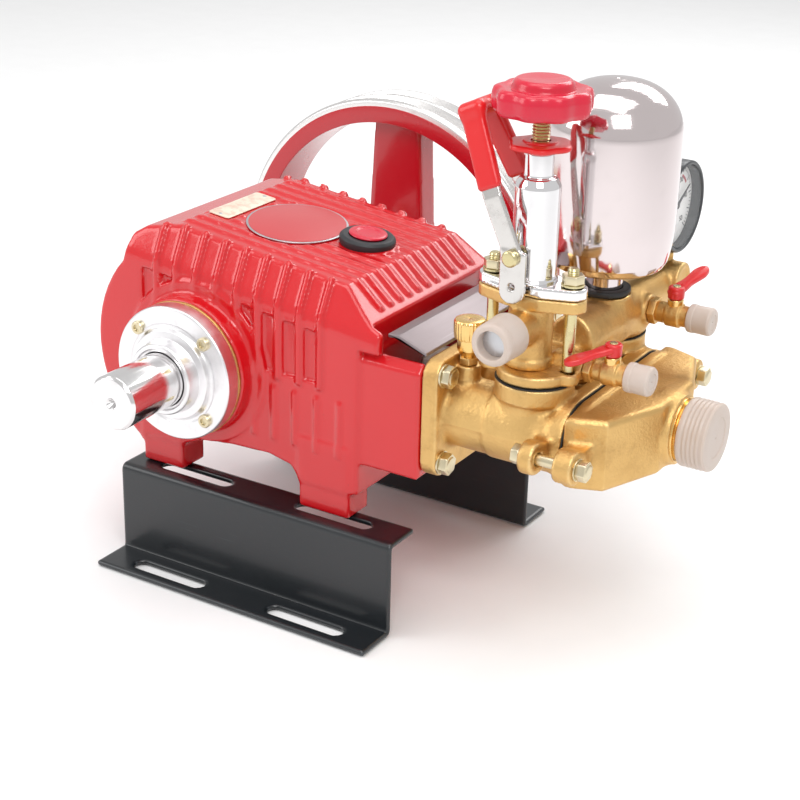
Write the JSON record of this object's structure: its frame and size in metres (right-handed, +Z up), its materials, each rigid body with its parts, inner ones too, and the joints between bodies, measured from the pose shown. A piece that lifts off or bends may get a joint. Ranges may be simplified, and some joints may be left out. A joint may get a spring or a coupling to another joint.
{
  "type": "plunger pump",
  "caption": "Belt-driven plunger pump for a pressure washer on two Z-section rails, with brass head, regulator tower, air chamber, gauge, discharge cocks and a belt pulley.",
  "frame": {"origin": "middle of the whole pump's box in plan, on the plane the rails stand on", "axes": "+X from the crankcase to the suction port, +Y from the drive end of the shaft to the pulley, +Z up"},
  "size_m": [0.383, 0.309, 0.301],
  "materials": {
    "red_paint": "gloss",
    "black_paint": "gloss",
    "grey_paint": "satin",
    "cast_alloy": "satin",
    "steel": "satin",
    "zinc_plate": "satin",
    "chrome": "mirror",
    "brass": "satin",
    "ceramic": "gloss",
    "packing": "matte",
    "rubber": "matte",
    "cap_plastic": "satin",
    "red_plastic": "gloss",
    "badge": "satin",
    "label": "satin",
    "black_plastic": "satin",
    "lens": "clear"
  },
  "bodies": {
    "frame": {"near_rail": "black_paint", "far_rail": "black_paint", "crankcase": "red_paint", "plunger_bay_cover": "grey_paint", "near_bearing_cover": "cast_alloy", "far_bearing_cover": "cast_alloy", "near_bearing": "steel", "far_bearing": "steel", "plunger_packing_1": "packing", "plunger_packing_2": "packing", "plunger_packing_3": "packing", "name_badge": "badge", "data_plate": "label", "oil_filler_seal": "rubber", "cylinder_block": "brass", "suction_gasket": "rubber", "suction_manifold": "brass", "discharge_manifold": "brass", "regulator_body": "brass", "left_tower_stud": "zinc_plate", "right_tower_stud": "zinc_plate", "spring_housing": "chrome", "regulator_spring": "steel", "air_chamber": "chrome", "gauge_case": "black_plastic", "gauge_lens": "lens", "near_cock_body": "brass", "far_cock_body": "brass", "grease_cup": "brass"},
    "crankshaft": {"crankshaft": "steel", "pulley": "red_paint", "pulley_nut": "zinc_plate"},
    "connecting_rod_1": {"connecting_rod_1": "steel"},
    "connecting_rod_2": {"connecting_rod_2": "steel"},
    "connecting_rod_3": {"connecting_rod_3": "steel"},
    "plunger_1": {"crosshead_1": "steel", "plunger_1": "ceramic"},
    "plunger_2": {"crosshead_2": "steel", "plunger_2": "ceramic"},
    "plunger_3": {"crosshead_3": "steel", "plunger_3": "ceramic"},
    "relief_lever": {"relief_lever": "steel", "lever_grip": "red_plastic", "lever_pin": "zinc_plate"},
    "valve_rod": {"valve_rod": "steel"},
    "adjuster": {"spring_seat": "steel"},
    "handwheel": {"adjusting_stem": "zinc_plate", "handwheel": "red_plastic"},
    "lock_disc": {"lock_disc": "red_plastic"},
    "near_cock_lever": {"near_cock_lever": "red_plastic"},
    "far_cock_lever": {"far_cock_lever": "red_plastic"},
    "near_cock_cap": {"near_cock_cap": "cap_plastic"},
    "far_cock_cap": {"far_cock_cap": "cap_plastic"},
    "suction_port_cap": {"suction_port_cap": "cap_plastic"},
    "overflow_cap": {"overflow_cap": "cap_plastic"},
    "oil_filler_cap": {"oil_filler_cap": "red_plastic"},
    "grease_cup_cap": {"grease_cup_cap": "brass"},
    "gauge_needle": {"gauge_needle": "black_plastic"}
  },
  "joints": [
    {"name": "crankshaft_turn", "type": "hinge", "parent": "frame", "child": "crankshaft", "pos_m": [-0.084, 0, 0.1235], "axis": [0, 1, 0], "continuous": true},
    {"name": "connecting_rod_1_turn", "type": "hinge", "parent": "crankshaft", "child": "connecting_rod_1", "pos_m": [-0.084, -0.058, 0.1345], "axis": [0, 1, 0], "continuous": true},
    {"name": "connecting_rod_2_turn", "type": "hinge", "parent": "crankshaft", "child": "connecting_rod_2", "pos_m": [-0.09353, -0.016, 0.118], "axis": [0, 1, 0], "continuous": true},
    {"name": "connecting_rod_3_turn", "type": "hinge", "parent": "crankshaft", "child": "connecting_rod_3", "pos_m": [-0.07447, 0.026, 0.118], "axis": [0, 1, 0], "continuous": true},
    {"name": "plunger_1_slide", "type": "slide", "parent": "frame", "child": "plunger_1", "axis": [1, 0, 0], "range_m": [-0.0099, 0.012]},
    {"name": "plunger_2_slide", "type": "slide", "parent": "frame", "child": "plunger_2", "axis": [1, 0, 0], "range_m": [-0.0012, 0.0207]},
    {"name": "plunger_3_slide", "type": "slide", "parent": "frame", "child": "plunger_3", "axis": [1, 0, 0], "range_m": [-0.0202, 0.0017]},
    {"name": "relief_lever_turn", "type": "hinge", "parent": "frame", "child": "relief_lever", "pos_m": [0.102, -0.058, 0.217], "axis": [0, 1, 0], "range_deg": [-60, 0]},
    {"name": "valve_rod_lift", "type": "slide", "parent": "frame", "child": "valve_rod", "axis": [0, 0, 1], "range_m": [0, 0.003]},
    {"name": "adjuster_travel", "type": "slide", "parent": "frame", "child": "adjuster", "axis": [0, 0, 1], "range_m": [-0.006, 0.004], "deforming": ["regulator_spring"]},
    {"name": "handwheel_turn", "type": "hinge", "parent": "adjuster", "child": "handwheel", "pos_m": [0.105, -0.058, 0.29], "axis": [0, 0, 1], "range_deg": [-1080, 720]},
    {"name": "lock_disc_turn", "type": "hinge", "parent": "frame", "child": "lock_disc", "pos_m": [0.105, -0.058, 0.269], "axis": [0, 0, 1], "range_deg": [0, 180]},
    {"name": "near_cock_lever_turn", "type": "hinge", "parent": "frame", "child": "near_cock_lever", "pos_m": [0.1458, -0.048, 0.17], "axis": [0, 0, 1], "range_deg": [0, 90]},
    {"name": "far_cock_lever_turn", "type": "hinge", "parent": "frame", "child": "far_cock_lever", "pos_m": [0.1438, 0.0315, 0.176], "axis": [0, 0, 1], "range_deg": [-90, 0]},
    {"name": "near_cock_cap_pull", "type": "slide", "parent": "frame", "child": "near_cock_cap", "axis": [1, 0, 0], "range_m": [0, 0.025]},
    {"name": "far_cock_cap_pull", "type": "slide", "parent": "frame", "child": "far_cock_cap", "axis": [1, 0, 0], "range_m": [0, 0.025]},
    {"name": "suction_port_cap_pull", "type": "slide", "parent": "frame", "child": "suction_port_cap", "axis": [1, 0, 0], "range_m": [0, 0.03]},
    {"name": "overflow_cap_pull", "type": "slide", "parent": "frame", "child": "overflow_cap", "axis": [0, -1, 0], "range_m": [0, 0.025]},
    {"name": "oil_filler_cap_pull", "type": "slide", "parent": "frame", "child": "oil_filler_cap", "axis": [0.1162, 0, 0.9932], "range_m": [0, 0.03]},
    {"name": "grease_cup_cap_turn", "type": "hinge", "parent": "frame", "child": "grease_cup_cap", "pos_m": [0.071, -0.058, 0.168], "axis": [0, 0, 1], "continuous": true},
    {"name": "gauge_needle_turn", "type": "hinge", "parent": "frame", "child": "gauge_needle", "pos_m": [0.123, 0.0735, 0.2105], "axis": [1, 0, 0], "range_deg": [-75, 195]}
  ],
  "couplings": [
    {"joint": "connecting_rod_1_turn", "follows": "crankshaft_turn", "ratio": -1},
    {"joint": "connecting_rod_2_turn", "follows": "crankshaft_turn", "ratio": -1},
    {"joint": "connecting_rod_3_turn", "follows": "crankshaft_turn", "ratio": -1},
    {"joint": "valve_rod_lift", "follows": "relief_lever_turn", "m_per_rad": -0.0028648},
    {"joint": "adjuster_travel", "follows": "handwheel_turn", "m_per_rad": 0.00031831}
  ]
}
